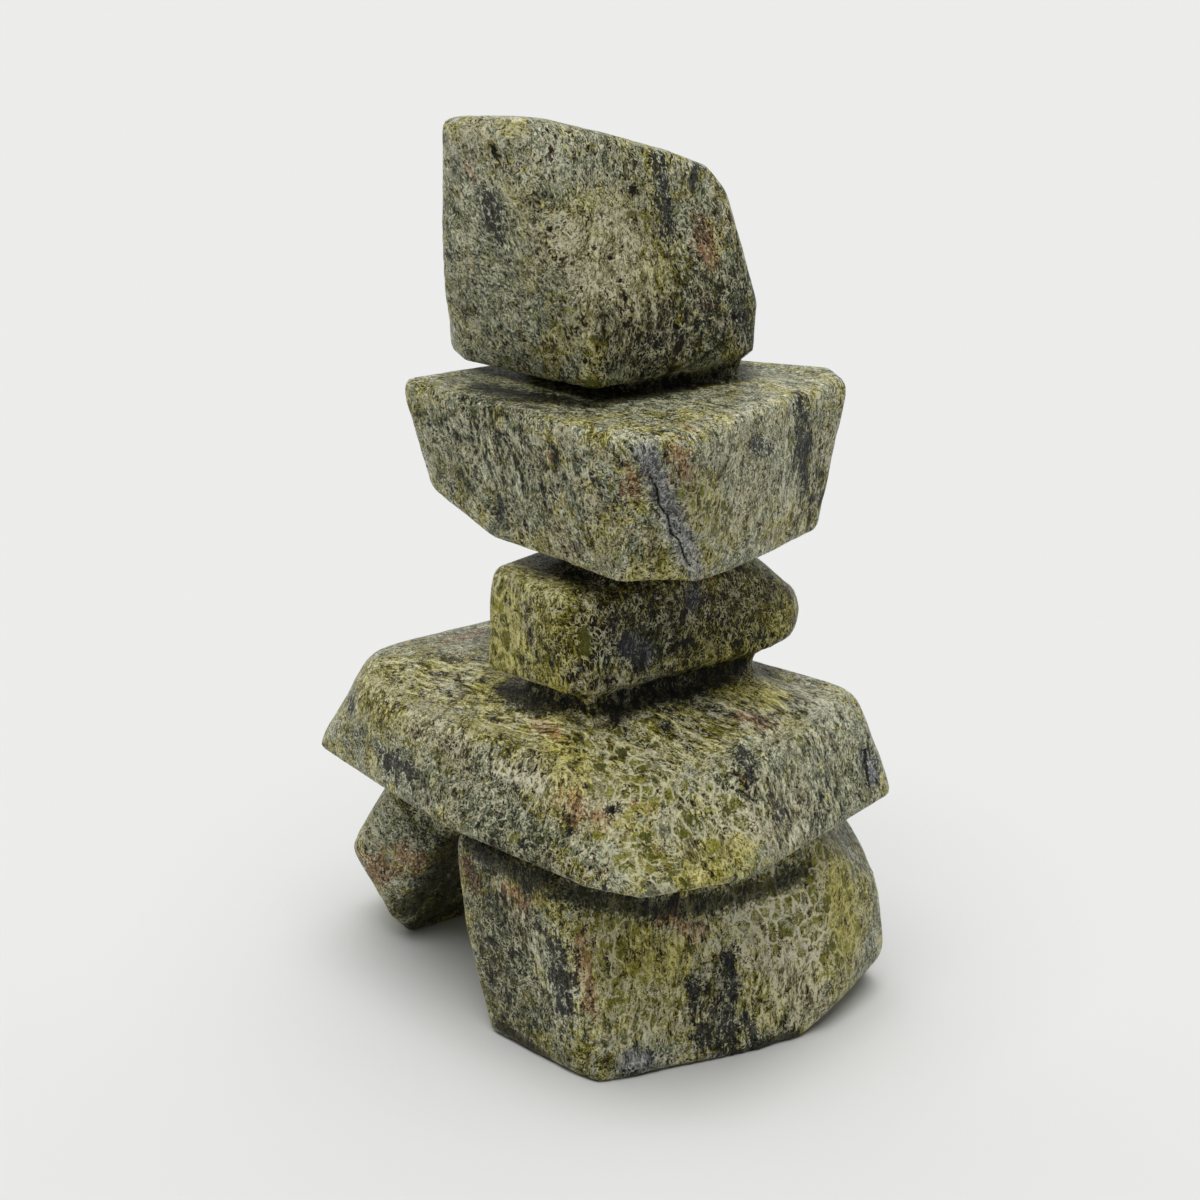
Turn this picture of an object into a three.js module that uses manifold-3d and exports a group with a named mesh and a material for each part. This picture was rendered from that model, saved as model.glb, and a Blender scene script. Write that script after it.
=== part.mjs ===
// An inukshuk carved in the round from one stone: two legs, a wide slab, a block, a stone for the arms and a head.
// Millimetres, +Z up. The figure looks along -Y and stands on z = 0, with its outline centred on the Z axis.
import * as THREE from 'three';
import { ConvexGeometry } from 'three/addons/geometries/ConvexGeometry.js';
import { mergeVertices } from 'three/addons/utils/BufferGeometryUtils.js';
import Module from 'manifold-3d';

// Heights from the ground up: each stone, and the groove carved between it and the one below
const legHeight = 49.5;
const slabGroove = 1.5;
const slabHeight = 28;
const blockGroove = 3;
const blockHeight = 26;
const armsGroove = 3;
const armsHeight = 34.5;
const headGroove = 2.5;
const headHeight = 57;

// Length along X and depth along Y of each stone
const wideLegLength = 74;
const wideLegDepth = 85;
const slimLegLength = 52;
const slimLegDepth = 60;
const slabLength = 121;
const slabDepth = 88;
const blockLength = 47;
const blockDepth = 66;
const armsLength = 75;
const armsDepth = 76;
const headLength = 70;
const headDepth = 70;

// Radius of the worn edges of each stone, and of the crisper rim below its middle
const legEdge = 4;
const slabEdge = 5;
const blockEdge = 3.5;
const armsEdge = 2.5;
const headEdge = 2.5;
const rimEdge = 1.5;

// How far each groove is cut in under the stone above it. It is sawn deep from all round but one side, where the
// bearing is that of the side on which the neck stays near the outside.
const slabUndercut = { deep: 5, shallow: 4, neckSide: -40 };
const blockUndercut = { deep: 8, shallow: 2.5, neckSide: -40 };
const armsUndercut = { deep: 10, shallow: 4, neckSide: -25 };
const headUndercut = { deep: 10, shallow: 1, neckSide: 15 };

// How deep a neck reaches into the stones that it joins, and the steepest lean of a face that a groove follows, as
// the upright part of its direction
const neckReach = 5;
const grooveLean = 0.8;

// Steps across the round of an edge, the grid that its points are put on, the distance at which a point counts as
// on a face, and the spread below which three faces are too nearly parallel to meet
const edgeSteps = 4;
const grid = 0.001;
const onFace = 1e-6;
const parallel = 1e-4;

// The level at which each stone starts
const slabLevel = legHeight + slabGroove;
const blockLevel = slabLevel + slabHeight + blockGroove;
const armsLevel = blockLevel + blockHeight + armsGroove;
const headLevel = armsLevel + armsHeight + headGroove;

// Sawn faces as [bearing, lean, share]: the bearing is the way that the face looks in plan, in degrees from +X
// towards +Y, the lean is how far it looks up or, below zero, down, and the share is its distance from the middle
// of the stone, where 1 touches the egg that fits the stone's length, depth and height.
const wideLeg = {
  middle: [33, -3],
  level: 0,
  size: [wideLegLength, wideLegDepth, legHeight],
  edge: legEdge,
  faces: {
    front: [-95, -4, 0.97],
    frontLeft: [-150, -15, 1.16],
    left: [-175, -3, 0.93],
    right: [-27, 7, 0.66],
    rightEnd: [2, 5, 0.97],
    rightShoulder: [33, 34, 1.15],
    rightUnder: [16, -48, 1.31],
    backRight: [68, 4, 1.12],
    back: [98, 4, 0.89],
    backLeft: [150, 3, 1],
    top: [0, 90, 1],
    foot: [0, -90, 1],
  },
};
const slimLeg = {
  middle: [-30, -1],
  level: 0,
  size: [slimLegLength, slimLegDepth, legHeight],
  edge: legEdge,
  faces: {
    front: [-69, -6, 0.76],
    inner: [-15, -28, 0.37],
    frontShoulder: [-149, 30, 0.92],
    frontUnder: [-135, -28, 1.01],
    left: [172, 8, 0.89],
    back: [95, 5, 0.96],
    backRight: [40, -6, 0.92],
    top: [0, 90, 1],
    foot: [0, -90, 1],
  },
};
const slab = {
  middle: [10, -7],
  level: slabLevel,
  size: [slabLength, slabDepth, slabHeight],
  edge: slabEdge,
  faces: {
    frontLeft: [-104, 8, 0.865],
    front: [-93, 22, 0.8],
    frontCorner: [-74, 29, 0.95],
    rightCorner: [-29, 36, 0.9],
    right: [1, 20, 0.91],
    backRight: [46, 17, 1.22],
    back: [92, 16, 0.92],
    left: [168, 12, 0.89],
    leftRim: [175, 4, 0.95],
    leftEnd: [-133, 30, 1.02],
    topFront: [-96, 67, 0.92],
    topCorner: [-55, 68, 0.94],
    topRight: [-5, 80, 1.07],
    topBack: [95, 80, 1.05],
    topLeft: [165, 82, 1.05],
    top: [0, 90, 1],
    seat: [0, -90, 1],
  },
};
const block = {
  middle: [23.5, 0.5],
  level: blockLevel,
  size: [blockLength, blockDepth, blockHeight],
  edge: blockEdge,
  faces: {
    front: [-95, 0, 0.97],
    right: [-17, 4, 0.58],
    endShoulder: [60, 48, 1.01],
    end: [47, 18, 1.15],
    endUnder: [51, -40, 1.32],
    back: [105, 2, 0.85],
    left: [178, 3, 0.96],
    top: [0, 88, 0.91],
    seat: [0, -88, 0.9],
  },
};
const arms = {
  middle: [15.5, 2],
  level: armsLevel,
  size: [armsLength, armsDepth, armsHeight],
  edge: armsEdge,
  faces: {
    front: [-94, -10, 0.86],
    corner: [-48, -15, 1.12],
    right: [1, -4, 0.96],
    rightUnder: [4, -48, 1.27],
    left: [163, -10, 0.69],
    frontUnder: [-118, -50, 1.17],
    leftUnder: [170, -45, 0.95],
    backRight: [52, -11, 1.15],
    back: [111, -6, 0.62],
    top: [0, 90, 1],
    seat: [180, -88, 0.94],
  },
};
const head = {
  middle: [2, 0],
  level: headLevel,
  size: [headLength, headDepth, headHeight],
  edge: headEdge,
  faces: {
    front: [-94, -16, 0.73],
    corner: [-33, 4, 0.85],
    right: [-13, 10, 0.73],
    rightUnder: [-20, -9, 0.89],
    frontUnder: [-122, -16, 0.9],
    left: [-155, 8, 0.735],
    end: [56, 16, 0.9],
    endUnder: [51, -7, 1.13],
    back: [120, 6, 0.57],
    top: [120, 79, 0.79],
    topSlope: [77, 73, 0.715],
    topFall: [67, 68, 0.755],
    topEnd: [52, 39, 0.91],
    seat: [68, -86.5, 0.975],
  },
};

// The sawn faces of a stone as planes around its own middle
function sawnPlanes({ size, faces }) {
  const extent = new THREE.Vector3(...size);
  return Object.values(faces).map(([bearing, lean, share]) => {
    const round = THREE.MathUtils.degToRad(bearing);
    const up = THREE.MathUtils.degToRad(lean);
    const outward = new THREE.Vector3(
      Math.cos(round) * Math.cos(up),
      Math.sin(round) * Math.cos(up),
      Math.sin(up),
    );
    const egg = outward.clone().multiply(extent).length() / 2;
    return new THREE.Plane(outward, -share * egg);
  });
}

// The corners of the solid that lies inside all planes, each moved in by an inset
function cornersInside(planes, inset) {
  const corners = [];
  for (let i = 0; i < planes.length; i += 1) {
    for (let j = i + 1; j < planes.length; j += 1) {
      for (let k = j + 1; k < planes.length; k += 1) {
        const meeting = [planes[i], planes[j], planes[k]];
        const at = whereThreeMeet(meeting, inset);
        if (at && planes.every((plane) => plane.distanceToPoint(at) < onFace - inset)) {
          corners.push({ at, outwards: meeting.map((plane) => plane.normal) });
        }
      }
    }
  }
  return corners;
}

function whereThreeMeet([a, b, c], inset) {
  const bc = b.normal.clone().cross(c.normal);
  const ca = c.normal.clone().cross(a.normal);
  const ab = a.normal.clone().cross(b.normal);
  const spread = a.normal.dot(bc);
  if (Math.abs(spread) < parallel) return null;
  return bc.multiplyScalar(-a.constant - inset)
    .add(ca.multiplyScalar(-b.constant - inset))
    .add(ab.multiplyScalar(-c.constant - inset))
    .divideScalar(spread);
}

// Points on the rounded corner between three faces: a patch of a ball that touches all three
function roundedCorner({ at, outwards: [a, b, c] }, radius) {
  const points = [];
  for (let i = 0; i <= edgeSteps; i += 1) {
    for (let j = 0; j <= edgeSteps - i; j += 1) {
      const outward = a.clone().multiplyScalar(i)
        .addScaledVector(b, j)
        .addScaledVector(c, edgeSteps - i - j)
        .normalize();
      const point = at.clone().addScaledVector(outward, radius);
      points.push(point.divideScalar(grid).round().multiplyScalar(grid));
    }
  }
  return points;
}

// A stone whose edges are worn round, and crisper below its middle
function stoneShape(stone) {
  const planes = sawnPlanes(stone);
  const worn = cornersInside(planes, stone.edge).flatMap((corner) => roundedCorner(corner, stone.edge));
  const crisp = cornersInside(planes, rimEdge)
    .filter((corner) => corner.at.z < 0)
    .flatMap((corner) => roundedCorner(corner, rimEdge));
  const shape = new ConvexGeometry([...worn, ...crisp]);
  return shape.translate(stone.middle[0], stone.middle[1], stone.level + stone.size[2] / 2);
}

// How far a groove is cut in from the side that a wall of its neck looks to
function undercutTowards(outward, { deep, shallow, neckSide }) {
  const side = THREE.MathUtils.degToRad(neckSide);
  const facing = outward.x * Math.cos(side) + outward.y * Math.sin(side);
  return deep - (deep - shallow) * Math.max(0, facing);
}

// The outline of a stone at its top or underside, cut in all round, as upright planes around the stone's middle
function cutIn(stone, side, undercut) {
  const rim = side * stone.size[2] / 2;
  return sawnPlanes(stone)
    .filter((plane) => Math.abs(plane.normal.z) < grooveLean)
    .map(({ normal, constant }) => {
      const wall = new THREE.Plane(normal.clone().setZ(0), constant + normal.z * rim).normalize();
      wall.constant += undercutTowards(wall.normal, undercut);
      return wall.translate(new THREE.Vector3(...stone.middle, 0));
    });
}

// The neck left in the groove between two stones, cut in under the upper stone and over the lower one
function neckShape(lower, upper, undercut, groove) {
  const walls = [...cutIn(lower, 1, undercut), ...cutIn(upper, -1, undercut)];
  const top = new THREE.Plane(new THREE.Vector3(0, 0, 1), -groove / 2 - neckReach);
  const bottom = new THREE.Plane(new THREE.Vector3(0, 0, -1), -groove / 2 - neckReach);
  const corners = cornersInside([...walls, top, bottom], rimEdge);
  const shape = new ConvexGeometry(corners.flatMap((corner) => roundedCorner(corner, rimEdge)));
  return shape.translate(0, 0, upper.level - groove / 2);
}

const wasm = await Module();
wasm.setup();

function solidOf(shape) {
  shape.deleteAttribute('normal');
  shape.deleteAttribute('uv');
  const merged = mergeVertices(shape, grid / 10);
  return new wasm.Manifold(new wasm.Mesh({
    numProp: 3,
    vertProperties: merged.attributes.position.array,
    triVerts: new Uint32Array(merged.index.array),
  }));
}

const figure = [
  stoneShape(wideLeg),
  stoneShape(slimLeg),
  neckShape(wideLeg, slab, slabUndercut, slabGroove),
  neckShape(slimLeg, slab, slabUndercut, slabGroove),
  stoneShape(slab),
  neckShape(slab, block, blockUndercut, blockGroove),
  stoneShape(block),
  neckShape(block, arms, armsUndercut, armsGroove),
  stoneShape(arms),
  neckShape(arms, head, headUndercut, headGroove),
  stoneShape(head),
].map(solidOf).reduce((whole, stone) => whole.add(stone));

const carved = figure.getMesh();
const geometry = new THREE.BufferGeometry();
geometry.setAttribute('position', new THREE.BufferAttribute(carved.vertProperties, 3));
geometry.setIndex(new THREE.BufferAttribute(carved.triVerts, 1));
geometry.computeBoundingBox();
const outline = geometry.boundingBox;
geometry.translate(-(outline.min.x + outline.max.x) / 2, -(outline.min.y + outline.max.y) / 2, 0);
geometry.computeVertexNormals();

const serpentine = new THREE.MeshStandardMaterial({ color: '#6f7052', roughness: 0.42, metalness: 0 });
const inukshuk = new THREE.Mesh(geometry, serpentine);
inukshuk.name = 'inukshuk';

const part = new THREE.Group();
part.add(inukshuk);

export default part;
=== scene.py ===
import math

import bmesh
import bpy
import numpy as np
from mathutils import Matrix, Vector, noise
from mathutils.bvhtree import BVHTree


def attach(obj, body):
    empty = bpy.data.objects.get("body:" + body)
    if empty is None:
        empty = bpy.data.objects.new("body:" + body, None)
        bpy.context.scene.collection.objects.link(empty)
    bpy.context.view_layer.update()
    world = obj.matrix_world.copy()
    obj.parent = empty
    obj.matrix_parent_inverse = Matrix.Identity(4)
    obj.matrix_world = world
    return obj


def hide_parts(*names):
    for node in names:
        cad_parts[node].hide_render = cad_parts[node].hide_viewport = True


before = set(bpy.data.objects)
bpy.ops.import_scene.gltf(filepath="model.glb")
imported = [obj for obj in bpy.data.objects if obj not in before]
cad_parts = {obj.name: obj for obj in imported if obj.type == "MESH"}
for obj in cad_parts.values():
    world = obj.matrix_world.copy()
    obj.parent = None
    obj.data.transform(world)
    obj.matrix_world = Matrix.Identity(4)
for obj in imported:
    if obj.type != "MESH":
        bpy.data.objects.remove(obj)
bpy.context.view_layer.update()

# The camera stands to the right of the carving, in front of it and a head higher, and looks down at its
# slab. The photo is square, and its focal length is given in its own pixels.
millimetre = 0.001
photo_side = 1200
photo_focal = 2404
camera_place = Vector((330.5, -387.1, 280)) * millimetre
camera_pitch = math.radians(20.1)
camera_bearing = math.radians(40)
sensor = 36
nearest = 0.01
farthest = 30

optics = bpy.data.cameras.new("camera")
optics.sensor_width = sensor
optics.lens = photo_focal / photo_side * sensor
optics.clip_start = nearest
optics.clip_end = farthest
camera = bpy.data.objects.new("camera", optics)
camera.location = camera_place
camera.rotation_euler = (math.pi / 2 - camera_pitch, 0, camera_bearing)
bpy.context.scene.collection.objects.link(camera)
bpy.context.scene.camera = camera
bpy.context.view_layer.update()


def sight(across, down):
    """The direction in which the camera sees a pixel of the photo."""
    middle = photo_side / 2
    ahead = Vector((across - middle, middle - down, -photo_focal))
    return (camera.matrix_world.to_3x3() @ ahead).normalized()


# The carving is one piece of polished serpentine: sawn and ground to faces, its edges worn round by the
# polishing, and its grooves sawn in between the stones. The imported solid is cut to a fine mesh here, then
# softened and weathered. Heights and lengths are in millimetres.
fineness = 1.15 * millimetre
weld = 1e-6
grooves = ((49.4, 51.1), (78.9, 82.1), (107.9, 111.1), (145.3, 147))
opened = 3
above_all = 250
crisp_rims = [0, 51, 82, 110.5, 147]
rim_height = 3.5
slab_levels = (57, 82)
slab_bevels = (6, 3)

# The remesh would close a groove that is narrower than three of its steps, so the grooves are opened for it
true_levels = np.array([0, *(level for groove in grooves for level in groove), above_all]) * millimetre
grooves_below = np.arange(len(true_levels)) // 2
opened_levels = true_levels + opened * millimetre * grooves_below


def fine_copy(source, name, size):
    """A closed mesh of small even faces over the same form, its grooves still opened."""
    shape = source.data.copy()
    cut = bmesh.new()
    cut.from_mesh(shape)
    bmesh.ops.remove_doubles(cut, verts=cut.verts, dist=weld)
    for corner in cut.verts:
        corner.co.z = np.interp(corner.co.z, true_levels, opened_levels)
    cut.to_mesh(shape)
    cut.free()
    rough = bpy.data.objects.new(name, shape)
    bpy.context.scene.collection.objects.link(rough)
    remesh = rough.modifiers.new("remesh", "REMESH")
    remesh.mode = "VOXEL"
    remesh.voxel_size = size
    seen = rough.evaluated_get(bpy.context.evaluated_depsgraph_get())
    mesh = bpy.data.meshes.new_from_object(seen)
    bpy.data.objects.remove(rough)
    bpy.data.meshes.remove(shape)
    mesh.name = name
    return mesh


stone = fine_copy(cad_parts["inukshuk"], "inukshuk_stone", fineness)
count = len(stone.vertices)
points = np.empty(count * 3)
stone.vertices.foreach_get("co", points)
points = points.reshape(count, 3)
points[:, 2] = np.interp(points[:, 2], opened_levels, true_levels)
edges = np.empty(len(stone.edges) * 2, int)
stone.edges.foreach_get("vertices", edges)
edges = edges.reshape(-1, 2)
links = np.bincount(edges.ravel(), minlength=count)[:, None]


def relaxed(at, share, rounds):
    """The points moved towards the middle of their neighbours, each by its own share, a number of times."""
    for _ in range(rounds):
        total = np.empty_like(at)
        for axis in range(3):
            ahead = np.bincount(edges[:, 0], at[edges[:, 1], axis], count)
            back = np.bincount(edges[:, 1], at[edges[:, 0], axis], count)
            total[:, axis] = ahead + back
        at = at + share[:, None] * (total / links - at)
    return at


def on_stone(skin, across, down):
    """The place on the stone that a pixel of the photo shows."""
    place = skin.ray_cast(camera_place, sight(across, down))[0]
    return np.array(place) if place else None


least_square = 1e-12


def nearness(at, marks):
    """How near each point is to a set of marks, as 1 on a mark and 0 at its reach or past it.

    A mark is a reach in millimetres and the pixels that it passes through.
    """
    skin = BVHTree.FromPolygons(at.tolist(), [tuple(face.vertices) for face in stone.polygons])
    level = np.zeros(len(at))
    for reach, *path in marks:
        places = [on_stone(skin, across, down) for across, down in path]
        places = [place for place in places if place is not None]
        for start, end in zip(places, places[1:] or places):
            along = end - start
            square = max(along @ along, least_square)
            share = np.clip((at - start) @ along / square, 0, 1)
            away = np.linalg.norm(at - start - share[:, None] * along, axis=1)
            level = np.maximum(level, 1 - away / (reach * millimetre))
    return np.clip(level, 0, 1)


# The rims are left crisp, the slab is ground to a pillow, and the ridges that face forward are worn widest
halfway = 0.5
polish_rounds, pillow_rounds, worn_rounds, broad_rounds = 4, 45, 60, 40
rim_hold, worn_rim_hold = 0.85, 0.9
height = points[:, 2:] / millimetre
rim = np.clip(1 - np.abs(height - np.array(crisp_rims)).min(1) / rim_height, 0, 1)
points = relaxed(points, halfway * (1 - rim_hold * rim), polish_rounds)
height = points[:, 2] / millimetre
low, high = slab_levels
rise, fall = slab_bevels
pillow = np.clip((height - low) / rise, 0, 1) * np.clip((high - height) / fall, 0, 1)
points = relaxed(points, halfway * pillow, pillow_rounds)
worn = nearness(points, [
    (16, (512, 135), (530, 215), (560, 290)), (10, (560, 290), (585, 345)),
    (14, (640, 455), (668, 520), (690, 560)), (14, (700, 450), (700, 560)),
    (9, (575, 905), (590, 980), (600, 1060)), (10, (830, 860), (850, 905), (862, 950)),
    (9, (770, 580), (795, 600), (800, 620)), (6, (574, 610), (577, 650), (582, 685)),
    (9, (640, 310), (700, 318), (735, 325)),
    (8, (885, 905), (886, 945), (860, 985), (825, 1012), (795, 1035)),
])
worn_through = np.clip(worn * 2, 0, 1)
points = relaxed(points, halfway * worn_through * (1 - worn_rim_hold * rim), worn_rounds)


def moved_to(mesh, at):
    """Puts the points of the mesh at new places."""
    mesh.vertices.foreach_set("co", at.ravel())
    mesh.update()


def normals_of(mesh, at):
    """The outward direction at every point of the mesh, once its points are at their new places."""
    moved_to(mesh, at)
    outward = np.empty(len(at) * 3)
    mesh.vertex_normals.foreach_get("vector", outward)
    return outward.reshape(-1, 3)


def keep(name, values):
    """Keeps a value with each point of the stone, for the material to read."""
    kept = stone.attributes.new(name, "FLOAT", "POINT")
    kept.data.foreach_set("value", values)


# How far each point lies below the surface round it, in the grooves, or stands above it, on an edge
deepest = 0.7 * millimetre
broad = relaxed(points, np.full(count, halfway), broad_rounds)
sunk = ((broad - points) * normals_of(stone, points)).sum(1)
keep("cavity", np.clip(sunk / deepest, 0, 1))
keep("edge", np.clip(-sunk / deepest, 0, 1))


# The marks that are narrower than a face of this mesh, each with half its width and the pixels that it
# passes through: grey veins, spots of clear olive, pale scratches and threads, and black pits and cracks
veins = [
    (2.2, (645, 452), (668, 505), (696, 572)), (2.4, (628, 1060), (645, 1062)),
    (1.6, (868, 762), (872, 778)), (1.8, (694, 594), (694, 604)), (2.4, (628, 645), (645, 655)),
]
olives = [
    (1.3, (585, 633), (586, 650)), (1.6, (590, 384), (594, 387)), (1.3, (645, 838)), (1.2, (690, 820)),
    (1.3, (728, 812)), (1.2, (688, 885)), (1.1, (670, 876)), (1.2, (690, 950)), (1.4, (790, 920)),
    (1.3, (830, 945)), (1.1, (708, 506)), (1.2, (600, 768)), (1.1, (622, 752)), (1.0, (655, 745)),
]
scratches = [
    (0.35, (489, 121), (493, 135), (499, 155)), (0.5, (795, 395), (787, 430), (768, 490)),
    (0.4, (405, 712), (425, 690)), (0.4, (432, 722), (455, 695)), (0.35, (455, 735), (480, 705)),
    (0.5, (735, 900), (748, 935), (770, 965), (776, 990)), (0.5, (800, 940), (815, 1000)),
    (0.4, (770, 905), (800, 935)), (0.4, (750, 925), (790, 915)), (0.5, (690, 890), (725, 880)),
    (0.3, (700, 455), (740, 440)), (0.3, (705, 462), (745, 450)), (0.3, (350, 832), (365, 846)),
    (0.4, (558, 758), (585, 790), (590, 815)), (0.4, (540, 790), (520, 820)),
]
pits = [
    (0.8, (631, 189), (635, 192)), (0.3, (629, 197)), (0.5, (620, 281)), (0.3, (621, 290)),
    (0.25, (624, 300)), (0.6, (549, 229)), (0.7, (734, 317)), (0.6, (676, 326)), (0.8, (626, 325)),
    # This one is painted shadow in the chip at the head's top edge
    (0.6, (492, 147), (497, 157)),
    (0.25, (650, 476), (657, 490), (659, 505), (668, 518), (671, 533), (680, 541), (684, 556),
     (690, 566)),
    (0.7, (773, 635)), (0.5, (865, 750), (869, 785)), (0.35, (612, 806), (613, 812)), (0.5, (610, 258)),
]


def widened(lines, factor, more):
    """The lines with their half widths multiplied and added to."""
    return [(factor * half + more, *path) for half, *path in lines]


def divided(mesh, at, lines):
    """Divides the faces of the mesh along the lines, so that a narrow mark has points enough."""
    moved_to(mesh, at)
    level = nearness(at, lines)
    cut = bmesh.new()
    cut.from_mesh(mesh)
    crossed = [face for face in cut.faces if any(level[corner.index] > 0 for corner in face.verts)]
    chosen = {edge for face in crossed for edge in face.edges}
    bmesh.ops.subdivide_edges(cut, edges=list(chosen), cuts=2, use_grid_fill=True)
    cut.to_mesh(mesh)
    cut.free()
    divided_at = np.empty(len(mesh.vertices) * 3)
    mesh.vertices.foreach_get("co", divided_at)
    return divided_at.reshape(-1, 3)


beside_line = 0.5
points = divided(stone, points, widened(olives + scratches + pits, 1, beside_line))


def waves(at, length, seed):
    """A smooth random height at each point, from about -1 to 1, with waves of a length in millimetres."""
    scale = 1 / (length * millimetre)
    shift = Vector((seed, 2 * seed, 3 * seed))
    return np.array([noise.noise(Vector(place) * scale + shift) for place in at])


# Hand grinding leaves its faces slightly wavy, with a few hollows, pits and cracks. A swell has its height,
# the length of its waves and a seed. A hollow has its depth, its reach and the pixels it passes through.
swells = ((0.4, 24, 11), (0.2, 9, 12), (0.12, 3.2, 13))
ground_off = 0.2
groove_damping = 0.8
pit_depth = 0.35
hollows = [
    (1.6, 9, (772, 672), (812, 684)), (1.0, 8, (765, 925), (800, 935)),
    (0.8, 5, (585, 630), (586, 650)), (0.9, 4, (868, 755), (872, 778)),
    (0.7, 3, (492, 148), (496, 156)), (0.5, 5, (655, 480), (672, 525), (690, 565)),
]
outward = normals_of(stone, points)
swell = sum(rise * waves(points, length, seed) for rise, length, seed in swells) - ground_off
for depth, *hollow in hollows:
    level = nearness(points, [hollow])
    swell = swell - depth * level * level * (3 - 2 * level)
from_groove = np.abs(points[:, 2:] / millimetre - np.mean(grooves, 1)).min(1)
narrow = np.clip(1.5 - from_groove / 2, 0, 1)
swell = swell * (1 - groove_damping * narrow)
swell = swell - pit_depth * np.clip(1.6 * nearness(points, widened(pits, 2, 0)), 0, 1)
points = points + outward * swell[:, None] * millimetre

# The soles are ground flat
sole_height = 0.35 * millimetre
points[:, 2] = np.where(points[:, 2] < sole_height, 0, points[:, 2])
moved_to(stone, points)
stone.shade_smooth()

carving = bpy.data.objects.new("inukshuk_stone", stone)
bpy.context.scene.collection.objects.link(carving)

# Its colours: a grey-green ground full of pale fibres and dark flecks, with cells of olive, gold stains,
# blue-grey blotches and a little rust, with painted shade and painted light over them. The marks that stand
# out are placed one by one, each with its reach and the pixels that it passes through. The rest follows the
# grain.


def paint(name, marks):
    """Keeps with each point how near it is to the marks of one kind."""
    keep(name, nearness(points, marks))


for name, lines in (("veins", veins), ("olives", olives), ("scratches", scratches), ("pits", pits)):
    paint(name, widened(lines, 2, 0))
paint("rust", [
    (5, (700, 225), (706, 262)), (3, (700, 300), (712, 308)), (3, (470, 172)),
    (4, (668, 918), (700, 934)), (4, (633, 470), (632, 490)), (4, (680, 450), (684, 475)),
    (3, (690, 426)), (5, (565, 800), (575, 812)), (4, (598, 818)), (4, (738, 716), (765, 722)),
    (6, (455, 640), (480, 632)), (7, (374, 872), (412, 858)), (3, (355, 850)),
    (5, (466, 866), (476, 884)), (4, (505, 888), (524, 902)), (4, (530, 900)),
    (3, (582, 940), (590, 1010)), (3, (535, 722), (560, 735)),
])
paint("blue", [
    (4, (658, 165), (664, 200), (668, 232)), (5, (490, 200), (495, 230)), (4, (742, 300), (745, 320)),
    (4.5, (385, 760), (410, 770)), (3, (612, 808)), (3.5, (742, 750), (750, 778)),
    (3, (772, 792), (784, 815)), (5, (867, 752), (872, 775)), (7, (556, 950), (562, 1005)),
    (6, (633, 640), (640, 655)), (5, (694, 596)), (6, (640, 1062)), (5, (724, 1045), (731, 1066)),
    (3, (750, 442), (768, 450)), (4, (690, 600)), (4, (800, 400), (803, 470)),
    (4, (340, 690), (350, 705)), (3.5, (696, 985), (706, 1040)), (3.5, (728, 955), (733, 995)),
    (6.5, (722, 1015), (729, 1052)), (3, (746, 1020), (758, 1045)),
])
paint("gold", [
    (11, (385, 672), (400, 700)), (14, (560, 770), (600, 790)), (8, (505, 600), (510, 660)),
    (6, (530, 600)), (6, (708, 490), (712, 515)), (9, (640, 960), (660, 1010)),
    (12, (640, 600), (740, 600)), (14, (560, 720), (690, 730)), (12, (600, 940), (620, 1000)),
    (14, (500, 590), (505, 680)), (14, (550, 590), (560, 690)), (10, (440, 670), (380, 690)),
    (6, (560, 775), (600, 800)), (5, (640, 840), (660, 860)), (5, (700, 810), (740, 830)),
    (6, (560, 640), (540, 680)), (7, (760, 960), (765, 1010)), (9, (820, 870), (840, 890)),
    (5, (592, 386)), (8, (480, 720), (560, 740)), (10, (786, 589), (786, 625)),
    (9, (724, 661), (760, 690)), (10, (578, 733), (580, 790)), (12, (600, 230), (650, 270)),
    (9, (832, 877), (832, 949)), (7, (650, 949), (690, 949)), (7, (614, 1021)), (8, (796, 985)),
    (6, (472, 877)), (8, (700, 880), (680, 900)), (7, (860, 900), (850, 950)),
    (6, (590, 620), (700, 560)),
])
paint("cells", [
    (17, (625, 800), (700, 820), (740, 820)), (15, (640, 850), (660, 870)),
    (13, (760, 900), (840, 930)), (13, (610, 930), (640, 1020)), (9, (600, 745), (640, 750)),
    (12, (820, 860), (850, 950)), (9, (700, 500), (715, 520)), (9, (505, 600), (505, 650)),
])
paint("cream", [
    (6, (745, 905), (790, 925)), (5, (800, 905), (770, 945)), (4, (500, 770), (560, 790)),
    (8, (775, 900), (810, 950)), (4, (700, 880), (728, 900), (745, 960)),
])
paint("beige", [
    (7, (474, 130), (478, 160)), (12, (615, 200), (630, 320)), (9, (570, 230), (600, 320)),
    (7, (530, 200), (540, 260)), (8, (640, 300), (660, 330)), (9, (540, 770), (600, 800)),
    (7, (770, 460), (740, 520)), (6, (860, 990), (820, 1010)), (10, (450, 560), (560, 540)),
    (9, (420, 720), (480, 790)), (10, (700, 850), (790, 810)), (6, (810, 480), (825, 440)),
    (7, (770, 960), (810, 1000)), (6, (500, 900), (520, 920)), (7, (730, 700), (770, 730)),
])
paint("streaked", [
    (10, (505, 590), (510, 670)), (14, (680, 930), (720, 1030)), (14, (760, 950), (800, 1010)),
    (12, (560, 720), (640, 740)), (14, (720, 720), (800, 710)), (12, (700, 800), (820, 810)),
    (12, (800, 460), (815, 500)), (12, (430, 700), (520, 740)), (10, (600, 1000), (640, 1030)),
    (12, (470, 440), (560, 480)), (14, (600, 690), (720, 740)), (14, (480, 690), (400, 680)),
    (14, (650, 900), (700, 960)), (12, (520, 900), (560, 1010)),
])
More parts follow.
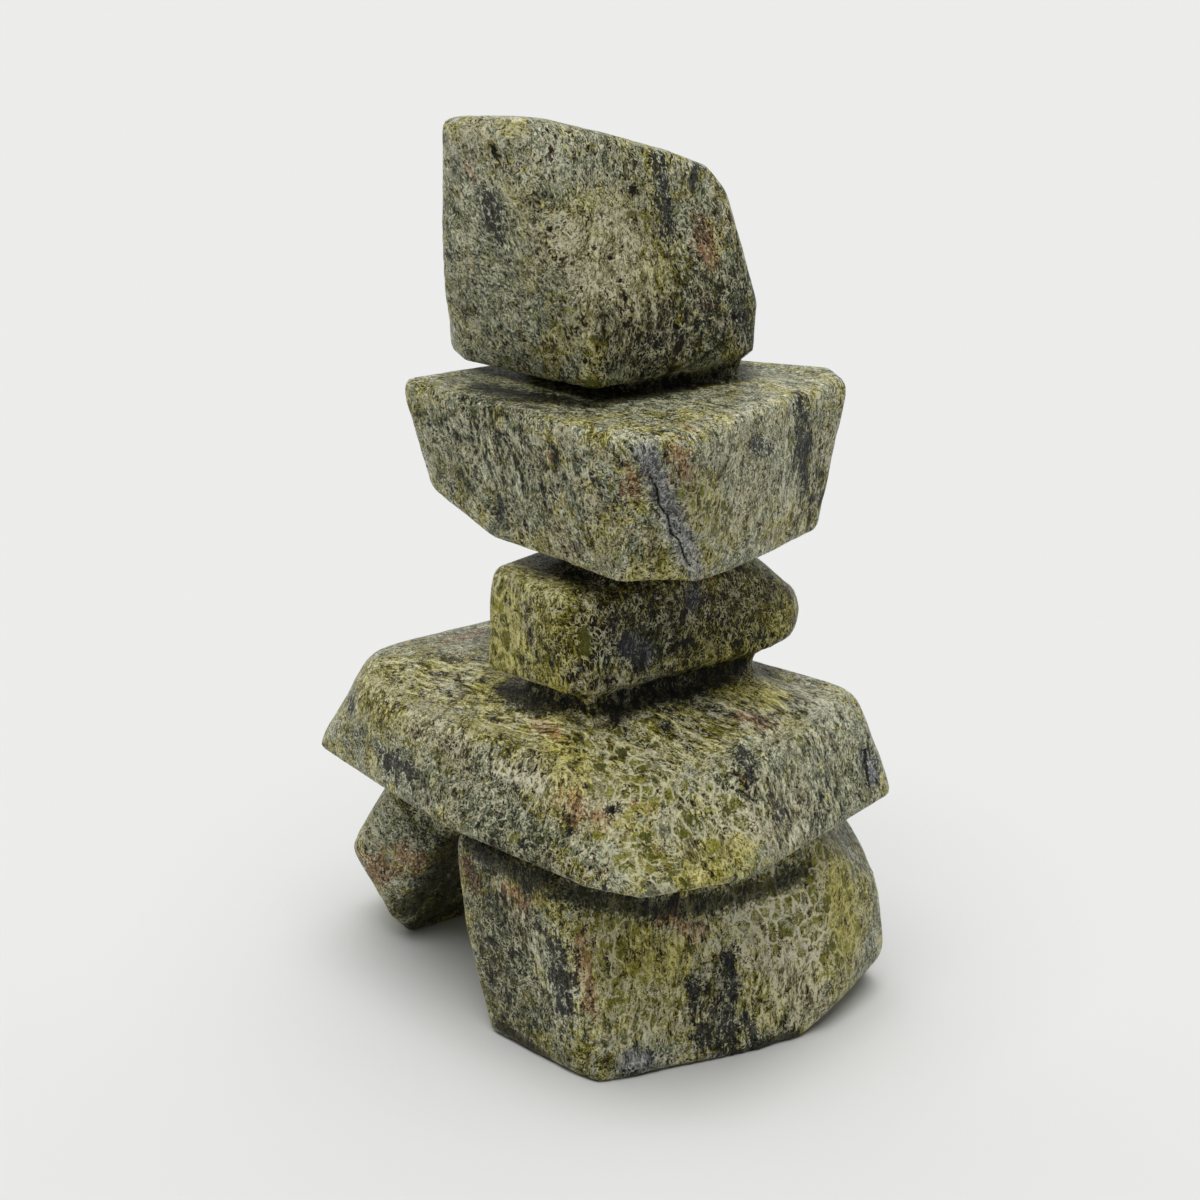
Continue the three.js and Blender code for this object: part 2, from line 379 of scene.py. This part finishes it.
# Darker: partly darker stone, as the blue-black band down the near leg and the band on the arms' right, and
# partly painted shade: on the head's lower right, on the arms' top under the head, on the block's right
# face under the arms, in the groove under the block, on the slab's underside and on the near leg below the
# slab
paint("dark", [
    (5, (716, 1000), (726, 1045)), (4, (700, 985), (704, 1030)), (4, (725, 960), (732, 985)),
    (4, (804, 404), (804, 474)), (14, (630, 345), (740, 325)), (12, (680, 300), (745, 290)),
    (16, (600, 650), (700, 635), (780, 615)), (14, (620, 600), (720, 590)), (6, (820, 480), (815, 520)),
    (14, (490, 900), (510, 1000)), (8, (640, 898), (700, 898)), (12, (430, 820), (560, 850)),
    (12, (640, 350), (740, 335)), (9, (480, 391), (575, 398)), (5, (503, 690), (540, 706)),
    (5, (540, 706), (620, 715)), (5, (620, 715), (690, 690)),
])
# Painted shade, milder: on faces shaded by the stones above them, as the block and the slab's top under the
# arms and the block, the arms' top under the head, the slab's underside, the near leg's top under the
# slab's rim and its foot by the floor
paint("painted_shade", [
    (7, (580, 1060), (640, 1068)), (9, (690, 1058), (745, 1052)), (9, (555, 620), (590, 690)),
    (7, (640, 735), (700, 730)), (7, (505, 445), (550, 448)), (6, (724, 481)), (6, (652, 553)),
    (9, (590, 610), (600, 670)), (14, (620, 600), (760, 600)), (12, (620, 640), (770, 622)),
    (12, (570, 690), (700, 715)), (8, (640, 730), (690, 733)), (9, (420, 805), (500, 845)),
    (12, (540, 878), (640, 905)), (6, (735, 878), (800, 872)), (6, (540, 200)),
    (7, (490, 408), (590, 412)), (4, (540, 1058), (560, 1066)), (6, (712, 1052), (740, 1058)),
    (5, (755, 770)), (5, (648, 445)), (6, (590, 900), (625, 915)), (5, (750, 880)),
    (6, (700, 520), (690, 500)), (12, (650, 345), (740, 330)), (5, (540, 228)),
    (8, (575, 600), (590, 625)), (8, (590, 640), (610, 675)), (8, (505, 765), (555, 775)),
    (6, (725, 770), (760, 770)), (6, (760, 880), (800, 880)), (10, (450, 450), (540, 470)),
])
# Painted shade, deep: the shadow in the sawn grooves, on the inner face of the leg behind, in the line
# under the slab's rim and along the near leg's foot by the floor
paint("painted_deep_shade", [
    (4, (503, 690), (540, 706), (620, 712), (690, 690), (735, 668)),
    (4, (486, 388), (540, 398), (590, 405), (660, 392), (740, 366)),
    (8, (452, 845), (440, 870), (412, 905)), (8, (455, 880), (430, 915)), (5, (458, 905), (412, 926)),
    (4, (470, 846), (500, 863), (540, 883), (575, 893), (600, 900), (640, 908), (680, 908),
     (720, 901), (760, 889), (800, 873)),
    (2.8, (500, 1027), (545, 1055), (590, 1080), (640, 1076), (700, 1063), (760, 1047), (792, 1036)),
])
paint("amber", [
    (11, (500, 620), (508, 685)), (9, (560, 640), (562, 695)), (10, (700, 655), (775, 640)),
    (8, (786, 589), (790, 610)), (7, (562, 750), (570, 780)), (8, (715, 665), (740, 695)),
    (7, (840, 880), (845, 940)), (7, (520, 872), (550, 905)), (8, (640, 950), (670, 960)),
    (8, (700, 870), (740, 860)), (6, (740, 690), (770, 700)),
])
# Paler: partly paler stone, and partly painted light: the sheen on the arms' top, the highlight on the
# arms' front lip and lighter lit faces of the legs and the slab
paint("light", [
    (14, (780, 690), (840, 720)), (12, (560, 180), (640, 300)), (10, (725, 372), (805, 385)),
    (14, (730, 470), (760, 520)), (14, (650, 930), (760, 960)), (14, (720, 1000), (800, 960)),
    (10, (840, 880), (850, 940)), (12, (385, 830), (400, 870)), (3, (622, 438), (640, 441)),
    (7, (550, 830), (600, 815)), (8, (770, 985), (810, 990)), (14, (640, 960), (660, 1010)),
    (9, (458, 120), (465, 190)), (6, (470, 125), (500, 190)), (6, (680, 260), (715, 262)),
    (11, (370, 825), (400, 880)), (5, (474, 337)), (4, (505, 371), (580, 378)),
    (12, (770, 900), (800, 990)), (7, (545, 790), (550, 840)), (6, (590, 565), (720, 580)),
    (7, (755, 409), (800, 409)), (6, (755, 440), (775, 446)), (5, (474, 697)),
    (8, (546, 733), (582, 841)), (4, (652, 769)), (6, (796, 805), (796, 841)),
    (6, (685, 980), (690, 990)), (8, (760, 955), (796, 985)), (5, (632, 1060), (652, 1060)),
    (12, (640, 1000), (680, 1045)), (9, (560, 790), (600, 830)), (7, (785, 805), (800, 840)),
    (7, (750, 600), (790, 620)), (8, (385, 760), (400, 775)),
])
paint("grey", [
    (16, (470, 180), (480, 250)), (14, (560, 170), (600, 160)), (16, (450, 440), (520, 470)),
    (12, (600, 400), (700, 400)), (20, (480, 210), (490, 320)), (7, (640, 445), (697, 578)),
    (12, (760, 440), (800, 470)), (14, (780, 690), (840, 730)), (7, (640, 1062)), (8, (870, 765)),
    (12, (390, 825)), (12, (560, 960), (565, 1000)), (8, (690, 590), (640, 650)),
    (12, (740, 760), (860, 790)), (10, (500, 830), (430, 770)), (9, (540, 409), (590, 409)),
    (9, (724, 445), (728, 481)), (7, (760, 517)), (9, (760, 373), (796, 380)),
    (9, (520, 450), (530, 515)), (9, (480, 780), (530, 835)), (9, (490, 915), (530, 980)),
])


def linear(code):
    """A colour from its screen code, such as "#808080", as the shader wants it."""
    steps = [int(code[i:i + 2], 16) / 255 for i in (1, 3, 5)]
    return [s / 12.92 if s <= 0.04045 else ((s + 0.055) / 1.055) ** 2.4 for s in steps] + [1]


def place_node(tree, kind, inputs=None, **settings):
    """A new node with its settings, whose inputs are given as values or as the outputs of other nodes."""
    node = tree.nodes.new("ShaderNode" + kind)
    for name, value in settings.items():
        setattr(node, name, value)
    for socket, value in (inputs or {}).items():
        if isinstance(value, bpy.types.NodeSocket):
            tree.links.new(value, node.inputs[socket])
        else:
            node.inputs[socket].default_value = value
    return node


serpentine = bpy.data.materials.new("serpentine")
serpentine.use_nodes = True
tree = serpentine.node_tree
tree.nodes.clear()


def maths(operation, *values):
    return place_node(tree, "Math", dict(enumerate(values)), operation=operation).outputs[0]


def times(one, other):
    return maths("MULTIPLY", one, other)


def highest(one, other):
    return maths("MAXIMUM", one, other)


def added(level, value, share):
    """A level with a share of another value added to it."""
    return maths("MULTIPLY_ADD", value, share, level)


def off_middle(noise):
    """How far a noise is from its middle level."""
    return maths("SUBTRACT", noise, 0.5)


def swung(level, noise, share):
    """A level that a noise swings up and down by its share."""
    return added(level, off_middle(noise), share)


def between(value, low, high):
    """A smooth step, 0 below the low level and 1 above the high one. With low over high it falls."""
    inputs = {"Value": value, "From Min": low, "From Max": high}
    return place_node(tree, "MapRange", inputs, interpolation_type="SMOOTHSTEP").outputs[0]


def cloud(place, size, detail=2.0, rough=0.5, swirl=0.0):
    """Noise with lumps of a size in millimetres."""
    inputs = {"Vector": place, "Scale": 1 / size, "Detail": detail, "Roughness": rough, "Distortion": swirl}
    return place_node(tree, "TexNoise", inputs).outputs["Fac"]


def stretched(vector, scale, turn=(0, 0, 0)):
    """A place whose axes are scaled and turned, so that what is drawn there is drawn out."""
    inputs = {"Vector": vector, "Rotation": turn, "Scale": scale}
    return place_node(tree, "Mapping", inputs).outputs[0]


def bent(vector, size, reach):
    """A place shifted by noise, so that what is drawn there flows."""
    push = place_node(tree, "TexNoise", {"Vector": vector, "Scale": 1 / size, "Detail": 1}).outputs["Color"]
    inputs = {0: push, 1: (0.5, 0.5, 0.5)}
    centred = place_node(tree, "VectorMath", inputs, operation="SUBTRACT").outputs[0]
    scaled = place_node(tree, "VectorMath", {0: centred, "Scale": reach}, operation="SCALE").outputs[0]
    return place_node(tree, "VectorMath", {0: vector, 1: scaled}, operation="ADD").outputs[0]


def threads(place, size, width):
    """Thin curling lines, where smooth noise crosses its middle level."""
    level = cloud(place, size, 1, 0.5)
    return between(maths("ABSOLUTE", off_middle(level)), width, 0.3 * width)


def mark(name):
    """How near the marks of one kind are, as kept with the mesh."""
    return place_node(tree, "Attribute", attribute_name=name).outputs["Fac"]


def mixed(ground, top, mask, blend="MIX"):
    """A ground colour with another one over it where the mask is 1."""
    node = place_node(tree, "Mix", data_type="RGBA", blend_type=blend)
    for index, value in ((0, mask), (6, ground), (7, top)):
        if isinstance(value, bpy.types.NodeSocket):
            tree.links.new(value, node.inputs[index])
        else:
            node.inputs[index].default_value = value
    return node.outputs[2]


def over(ground, code, mask):
    """A ground colour covered by one plain colour where the mask is 1."""
    return mixed(ground, linear(code), mask)


def tinted(ground, red, green, blue, mask):
    """A ground colour multiplied by a tint where the mask is 1, with its grain left to show; used for
    stains and for painted shade.
    """
    return mixed(ground, (red, green, blue, 1), mask, "MULTIPLY")


def ramp(level, *codes):
    """Colours at even steps of the level, from the darkest grains to the palest."""
    node = place_node(tree, "ValToRGB", {0: level})
    stops = node.color_ramp.elements
    for index in range(1, len(codes) - 1):
        stops.new(index / (len(codes) - 1))
    for stop, code in zip(stops, codes):
        stop.color = linear(code)
    return node.outputs[0]


# The place on the stone in millimetres, and the same drawn out along the bedding
object_place = place_node(tree, "TexCoord").outputs["Object"]
place = stretched(object_place, (1 / millimetre,) * 3)
flowing = bent(place, 18, 5)
grain_turn = (0, 0, math.radians(-40))
turned = stretched(flowing, (1, 1.3, 0.9), grain_turn)
upright = stretched(flowing, (1, 1, 0.3))
lying = stretched(flowing, (0.24, 1, 1), grain_turn)

# The grain: swirled grains everywhere, and fibres that stand upright on the sides and lie level on the tops
outward_normal = place_node(tree, "NewGeometry").outputs["Normal"]
facing_up = place_node(tree, "SeparateXYZ", {0: outward_normal}).outputs[2]
on_top = between(facing_up, 0.7, 0.9)
fibre_place = place_node(tree, "Mix", {0: on_top, 4: upright, 5: lying}, data_type="VECTOR").outputs[1]
grains = cloud(turned, 1.5, detail=2, rough=0.9, swirl=2.0)
fine_fibres = cloud(bent(fibre_place, 0.9, 0.8), 0.95, detail=3, rough=0.75)
broad_fibres = cloud(bent(fibre_place, 2.4, 1.4), 2.4, detail=3, rough=0.7)
upright_fibres = cloud(bent(upright, 1.5, 1.0), 1.6, detail=2, rough=0.6)
breaks = cloud(turned, 3.2, detail=3, rough=0.7)
fray = times(off_middle(cloud(turned, 3.4, detail=4, rough=0.75)), 2.2)
fine_fray = times(off_middle(cloud(place, 0.9, detail=3, rough=0.75)), 2.4)


def frayed(name):
    """The marks of one kind, swung up and down by coarse noise."""
    return maths("ADD", mark(name), fray)


def finely_frayed(name):
    """The marks of one kind, swung up and down by fine noise."""
    return maths("ADD", mark(name), fine_fray)


def patch(name, low=0.3, high=0.6):
    """The marks of one kind with frayed edges."""
    return between(frayed(name), low, high)


def speckled(name, low, high):
    """The marks of one kind, broken up by the grains and the fibres."""
    broken = swung(times(off_middle(grains), -3.2), upright_fibres, -2.4)
    return between(maths("ADD", frayed(name), broken), low, high)


def drawn(name):
    """The marks of one kind that are drawn as lines and spots."""
    return between(finely_frayed(name), 0.38, 0.6)


def strewn(place, size, low, high):
    """Frayed patches strewn over the whole stone."""
    return between(cloud(place, size, 4, 0.72), low, high)


# How pale each grain is, with the clouds, fibres, grooves and edges that shade it
middle_level = 0.475
fibrous = highest(patch("streaked", 0.05, 0.45), times(strewn(place, 14, 0.5, 0.58), 0.5))
cell_mask = highest(patch("cells", 0.3, 0.55), times(strewn(place, 10, 0.56, 0.64), 0.7))
granular = added(1, highest(fibrous, cell_mask), -0.6)
level = swung(middle_level, grains, times(granular, 3.6))
level = swung(level, cloud(turned, 3.0, detail=3, rough=0.7), times(granular, 0.9))
level = swung(level, cloud(flowing, 9, detail=3, rough=0.6), added(0.5, fibrous, 0.4))
level = swung(level, fine_fibres, times(fibrous, 3.6))
level = swung(level, broad_fibres, times(fibrous, 2.6))
# Darker where the dark marks lie, partly darker stone and partly painted shade; darker in the milder
# painted shade; paler where the light marks lie, partly paler stone and partly painted light and sheen
level = added(level, patch("dark", 0.1, 0.6), -0.3)
level = added(level, patch("painted_shade", 0.1, 0.6), -0.16)
level = added(level, patch("light", 0.1, 0.6), 0.16)
# Painted shade: darker in the hollows and grooves. Paler on convex edges, for the wear of the polish and a
# painted highlight
level = added(level, mark("cavity"), -0.6)
level = added(level, between(mark("edge"), 0.2, 0.7), 0.1)

# The ground: grey-green, golden olive and beige, each from its darkest grains to its palest
grey_green = ramp(level, "#0f100a", "#36391f", "#5b6044", "#7a7e64", "#93967c", "#b1b399", "#e4e4ce")
golden = ramp(level, "#0e0c00", "#383401", "#605b10", "#857e2b", "#a19a4a", "#beb873", "#e6e0ac")
warm = ramp(level, "#16130a", "#403b24", "#655f3f", "#86805b", "#a39c77", "#bfb893", "#e3dec4")
not_grey = added(1, patch("grey", 0.2, 0.7), -0.85)
gold_mask = highest(patch("gold", 0.05, 0.4), times(strewn(flowing, 6, 0.48, 0.55), not_grey))
warm_mask = times(highest(patch("beige"), strewn(place, 7, 0.56, 0.62)), not_grey)
colour = mixed(grey_green, golden, gold_mask)
colour = mixed(colour, warm, times(warm_mask, 0.85))

# Cells of clear olive, each of its own shade, with pale rims
cell_size = 3.7
cell_inputs = {"Vector": bent(bent(turned, 2.4, 1.6), 0.7, 0.5), "Scale": 1 / cell_size}
cell_edge = place_node(tree, "TexVoronoi", cell_inputs, feature="DISTANCE_TO_EDGE").outputs["Distance"]
cell_tint = place_node(tree, "TexVoronoi", cell_inputs, feature="F1").outputs["Color"]
cell_shade = place_node(tree, "SeparateColor", {"Color": cell_tint}).outputs[1]
inside = between(cell_edge, 0.04, 0.14)
glass_level = added(swung(swung(0.5, grains, 1.2), cell_shade, 0.5), inside, -0.1)
glass = ramp(glass_level, "#101200", "#343706", "#5b5d12", "#83822a", "#a7a249", "#cbc583")
clear = times(times(between(cell_shade, 0.36, 0.44), inside), cell_mask)
colour = mixed(colour, glass, times(clear, 0.9))
rims = times(between(cell_edge, 0.1, 0.03), times(between(cell_shade, 0.1, 0.2), cell_mask))

# Pale fibres that curl between the cells and along the streaks
wide_curls = threads(bent(turned, 2.4, 2.6), 2.2, 0.035)
tight_curls = threads(bent(turned, 1.5, 1.6), 1.3, 0.045)
long_curls = times(threads(bent(fibre_place, 1.6, 1.4), 1.3, 0.04), fibrous)
curls = times(highest(highest(wide_curls, tight_curls), long_curls), between(breaks, 0.43, 0.56))
pale = highest(curls, times(rims, between(breaks, 0.36, 0.46)))
colour = over(colour, "#e0dbb8", times(pale, 0.72))

# Cream, rust, blue-black streaks with pale grains in them, and black flecks
cream_fibres = highest(between(fine_fibres, 0.53, 0.6), between(cell_edge, 0.11, 0.05))
between_cells = times(cream_fibres, added(0.95, clear, -0.9))
colour = over(colour, "#e6e0c0", times(patch("cream", 0.2, 0.6), between_cells))
rust = ramp(level, "#170d06", "#503119", "#7f5836", "#9f7850", "#bd9b73", "#d8c09c")
rust_mask = highest(speckled("rust", 0.35, 0.6), strewn(place, 12, 0.67, 0.71))
colour = mixed(colour, rust, times(rust_mask, 0.8))
blue_level = swung(swung(0.2, fine_fibres, 1.4), grains, 1.4)
blue_black = ramp(blue_level, "#06070a", "#20242a", "#4c5056", "#84867f", "#c6c4b0")
blue_mask = highest(speckled("blue", 0.4, 0.65), strewn(upright, 9, 0.66, 0.69))
colour = mixed(colour, blue_black, times(blue_mask, 0.88))
flecks = cloud(bent(turned, 0.8, 1.0), 1.6, detail=3, rough=0.85)
colour = over(colour, "#080906", times(between(flecks, 0.37, 0.33), 0.95))

# The veins, spots, scratches and pits
vein_colour = ramp(level, "#2e3032", "#5b5d5e", "#84868a", "#a9aaa8", "#cfcec6")
colour = mixed(colour, vein_colour, times(drawn("veins"), 0.85))
colour = over(colour, "#4f5216", times(drawn("olives"), 0.85))
scratch_break = times(between(grains, 0.42, 0.5), 0.65)
colour = over(colour, "#d4d0b4", times(drawn("scratches"), scratch_break))
colour = over(colour, "#080806", times(drawn("pits"), 0.95))

# Stains of amber, and painted shade: darker in the hollows, and deeply dark in the grooves, under the
# slab's rim, along the foot and on the inner face of the leg behind
colour = tinted(colour, 1, 0.97, 0.62, patch("amber", 0.1, 0.5))
colour = tinted(colour, 0.38, 0.36, 0.32, mark("cavity"))
colour = tinted(colour, 0.2, 0.2, 0.17, between(finely_frayed("painted_deep_shade"), 0.05, 0.6))

# The polish: the pale grains shine more than the dark ones, and stand up a little
dull, shiny = 0.5, 0.25
gloss = place_node(tree, "MapRange", {"Value": grains, "To Min": dull, "To Max": shiny}).outputs[0]
bump = place_node(tree, "Bump", {"Height": grains, "Strength": 0.7, "Distance": millimetre}).outputs[0]
surface = place_node(tree, "BsdfPrincipled", {"Base Color": colour, "Roughness": gloss, "Normal": bump})
surface.inputs["Specular IOR Level"].default_value = 0.15
output = place_node(tree, "OutputMaterial")
tree.links.new(surface.outputs[0], output.inputs["Surface"])

stone.materials.clear()
stone.materials.append(serpentine)
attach(carving, "root")
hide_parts("inukshuk")

# The table that it stands on is covered with plain white paper, wide enough to fill the view. It is the
# stage, and no part of the carving.
floor_reach = 6
paper_white = (0.715, 0.715, 0.705, 1)
paper_roughness = 0.9
ground = bpy.data.meshes.new("floor")
corners = [(-floor_reach, -floor_reach, 0), (floor_reach, -floor_reach, 0),
           (floor_reach, floor_reach, 0), (-floor_reach, floor_reach, 0)]
ground.from_pydata(corners, [], [(0, 1, 2, 3)])
paper = bpy.data.materials.new("white_paper")
paper.use_nodes = True
sheet = paper.node_tree.nodes["Principled BSDF"]
sheet.inputs["Base Color"].default_value = paper_white
sheet.inputs["Roughness"].default_value = paper_roughness
sheet.inputs["Specular IOR Level"].default_value = 0
ground.materials.append(paper)
floor = bpy.data.objects.new("floor", ground)
bpy.context.scene.collection.objects.link(floor)

# The light is a broad soft one from above, a little to the front and right, in a room whose light comes
# mostly from behind the carving. The room's walls look pale from every side.
backdrop_brightness = 0.8
room_brightness = 0.1
room_tint = (0.97, 0.985, 1, 1)
lamp_strength = 2.75
lamp_spread = math.radians(55)
lamp_lean = (math.radians(9), math.radians(5), 0)

room = bpy.data.worlds.new("room")
room.use_nodes = True
away = (-math.sin(camera_bearing), math.cos(camera_bearing), 0)
sky = room.node_tree
direction = place_node(sky, "TexCoord").outputs["Generated"]
ahead = place_node(sky, "VectorMath", {0: direction, 1: away}, operation="DOT_PRODUCT").outputs["Value"]
fade = {
    "Value": ahead, "From Min": -0.1, "From Max": 0.7,
    "To Min": room_brightness, "To Max": backdrop_brightness,
}
room_light = place_node(sky, "MapRange", fade, interpolation_type="SMOOTHSTEP").outputs[0]
seen = place_node(sky, "LightPath").outputs["Is Camera Ray"]
backdrop = place_node(sky, "Math", {0: seen, 1: backdrop_brightness}, operation="MULTIPLY").outputs[0]
brightness = place_node(sky, "Math", {0: room_light, 1: backdrop}, operation="MAXIMUM").outputs[0]
sky.links.new(brightness, sky.nodes["Background"].inputs["Strength"])
sky.nodes["Background"].inputs["Color"].default_value = room_tint
bpy.context.scene.world = room
lamp = bpy.data.lights.new("overhead", "SUN")
lamp.energy = lamp_strength
lamp.angle = lamp_spread
overhead = bpy.data.objects.new("overhead", lamp)
overhead.rotation_euler = lamp_lean
bpy.context.scene.collection.objects.link(overhead)
bpy.context.scene.view_settings.view_transform = "Standard"
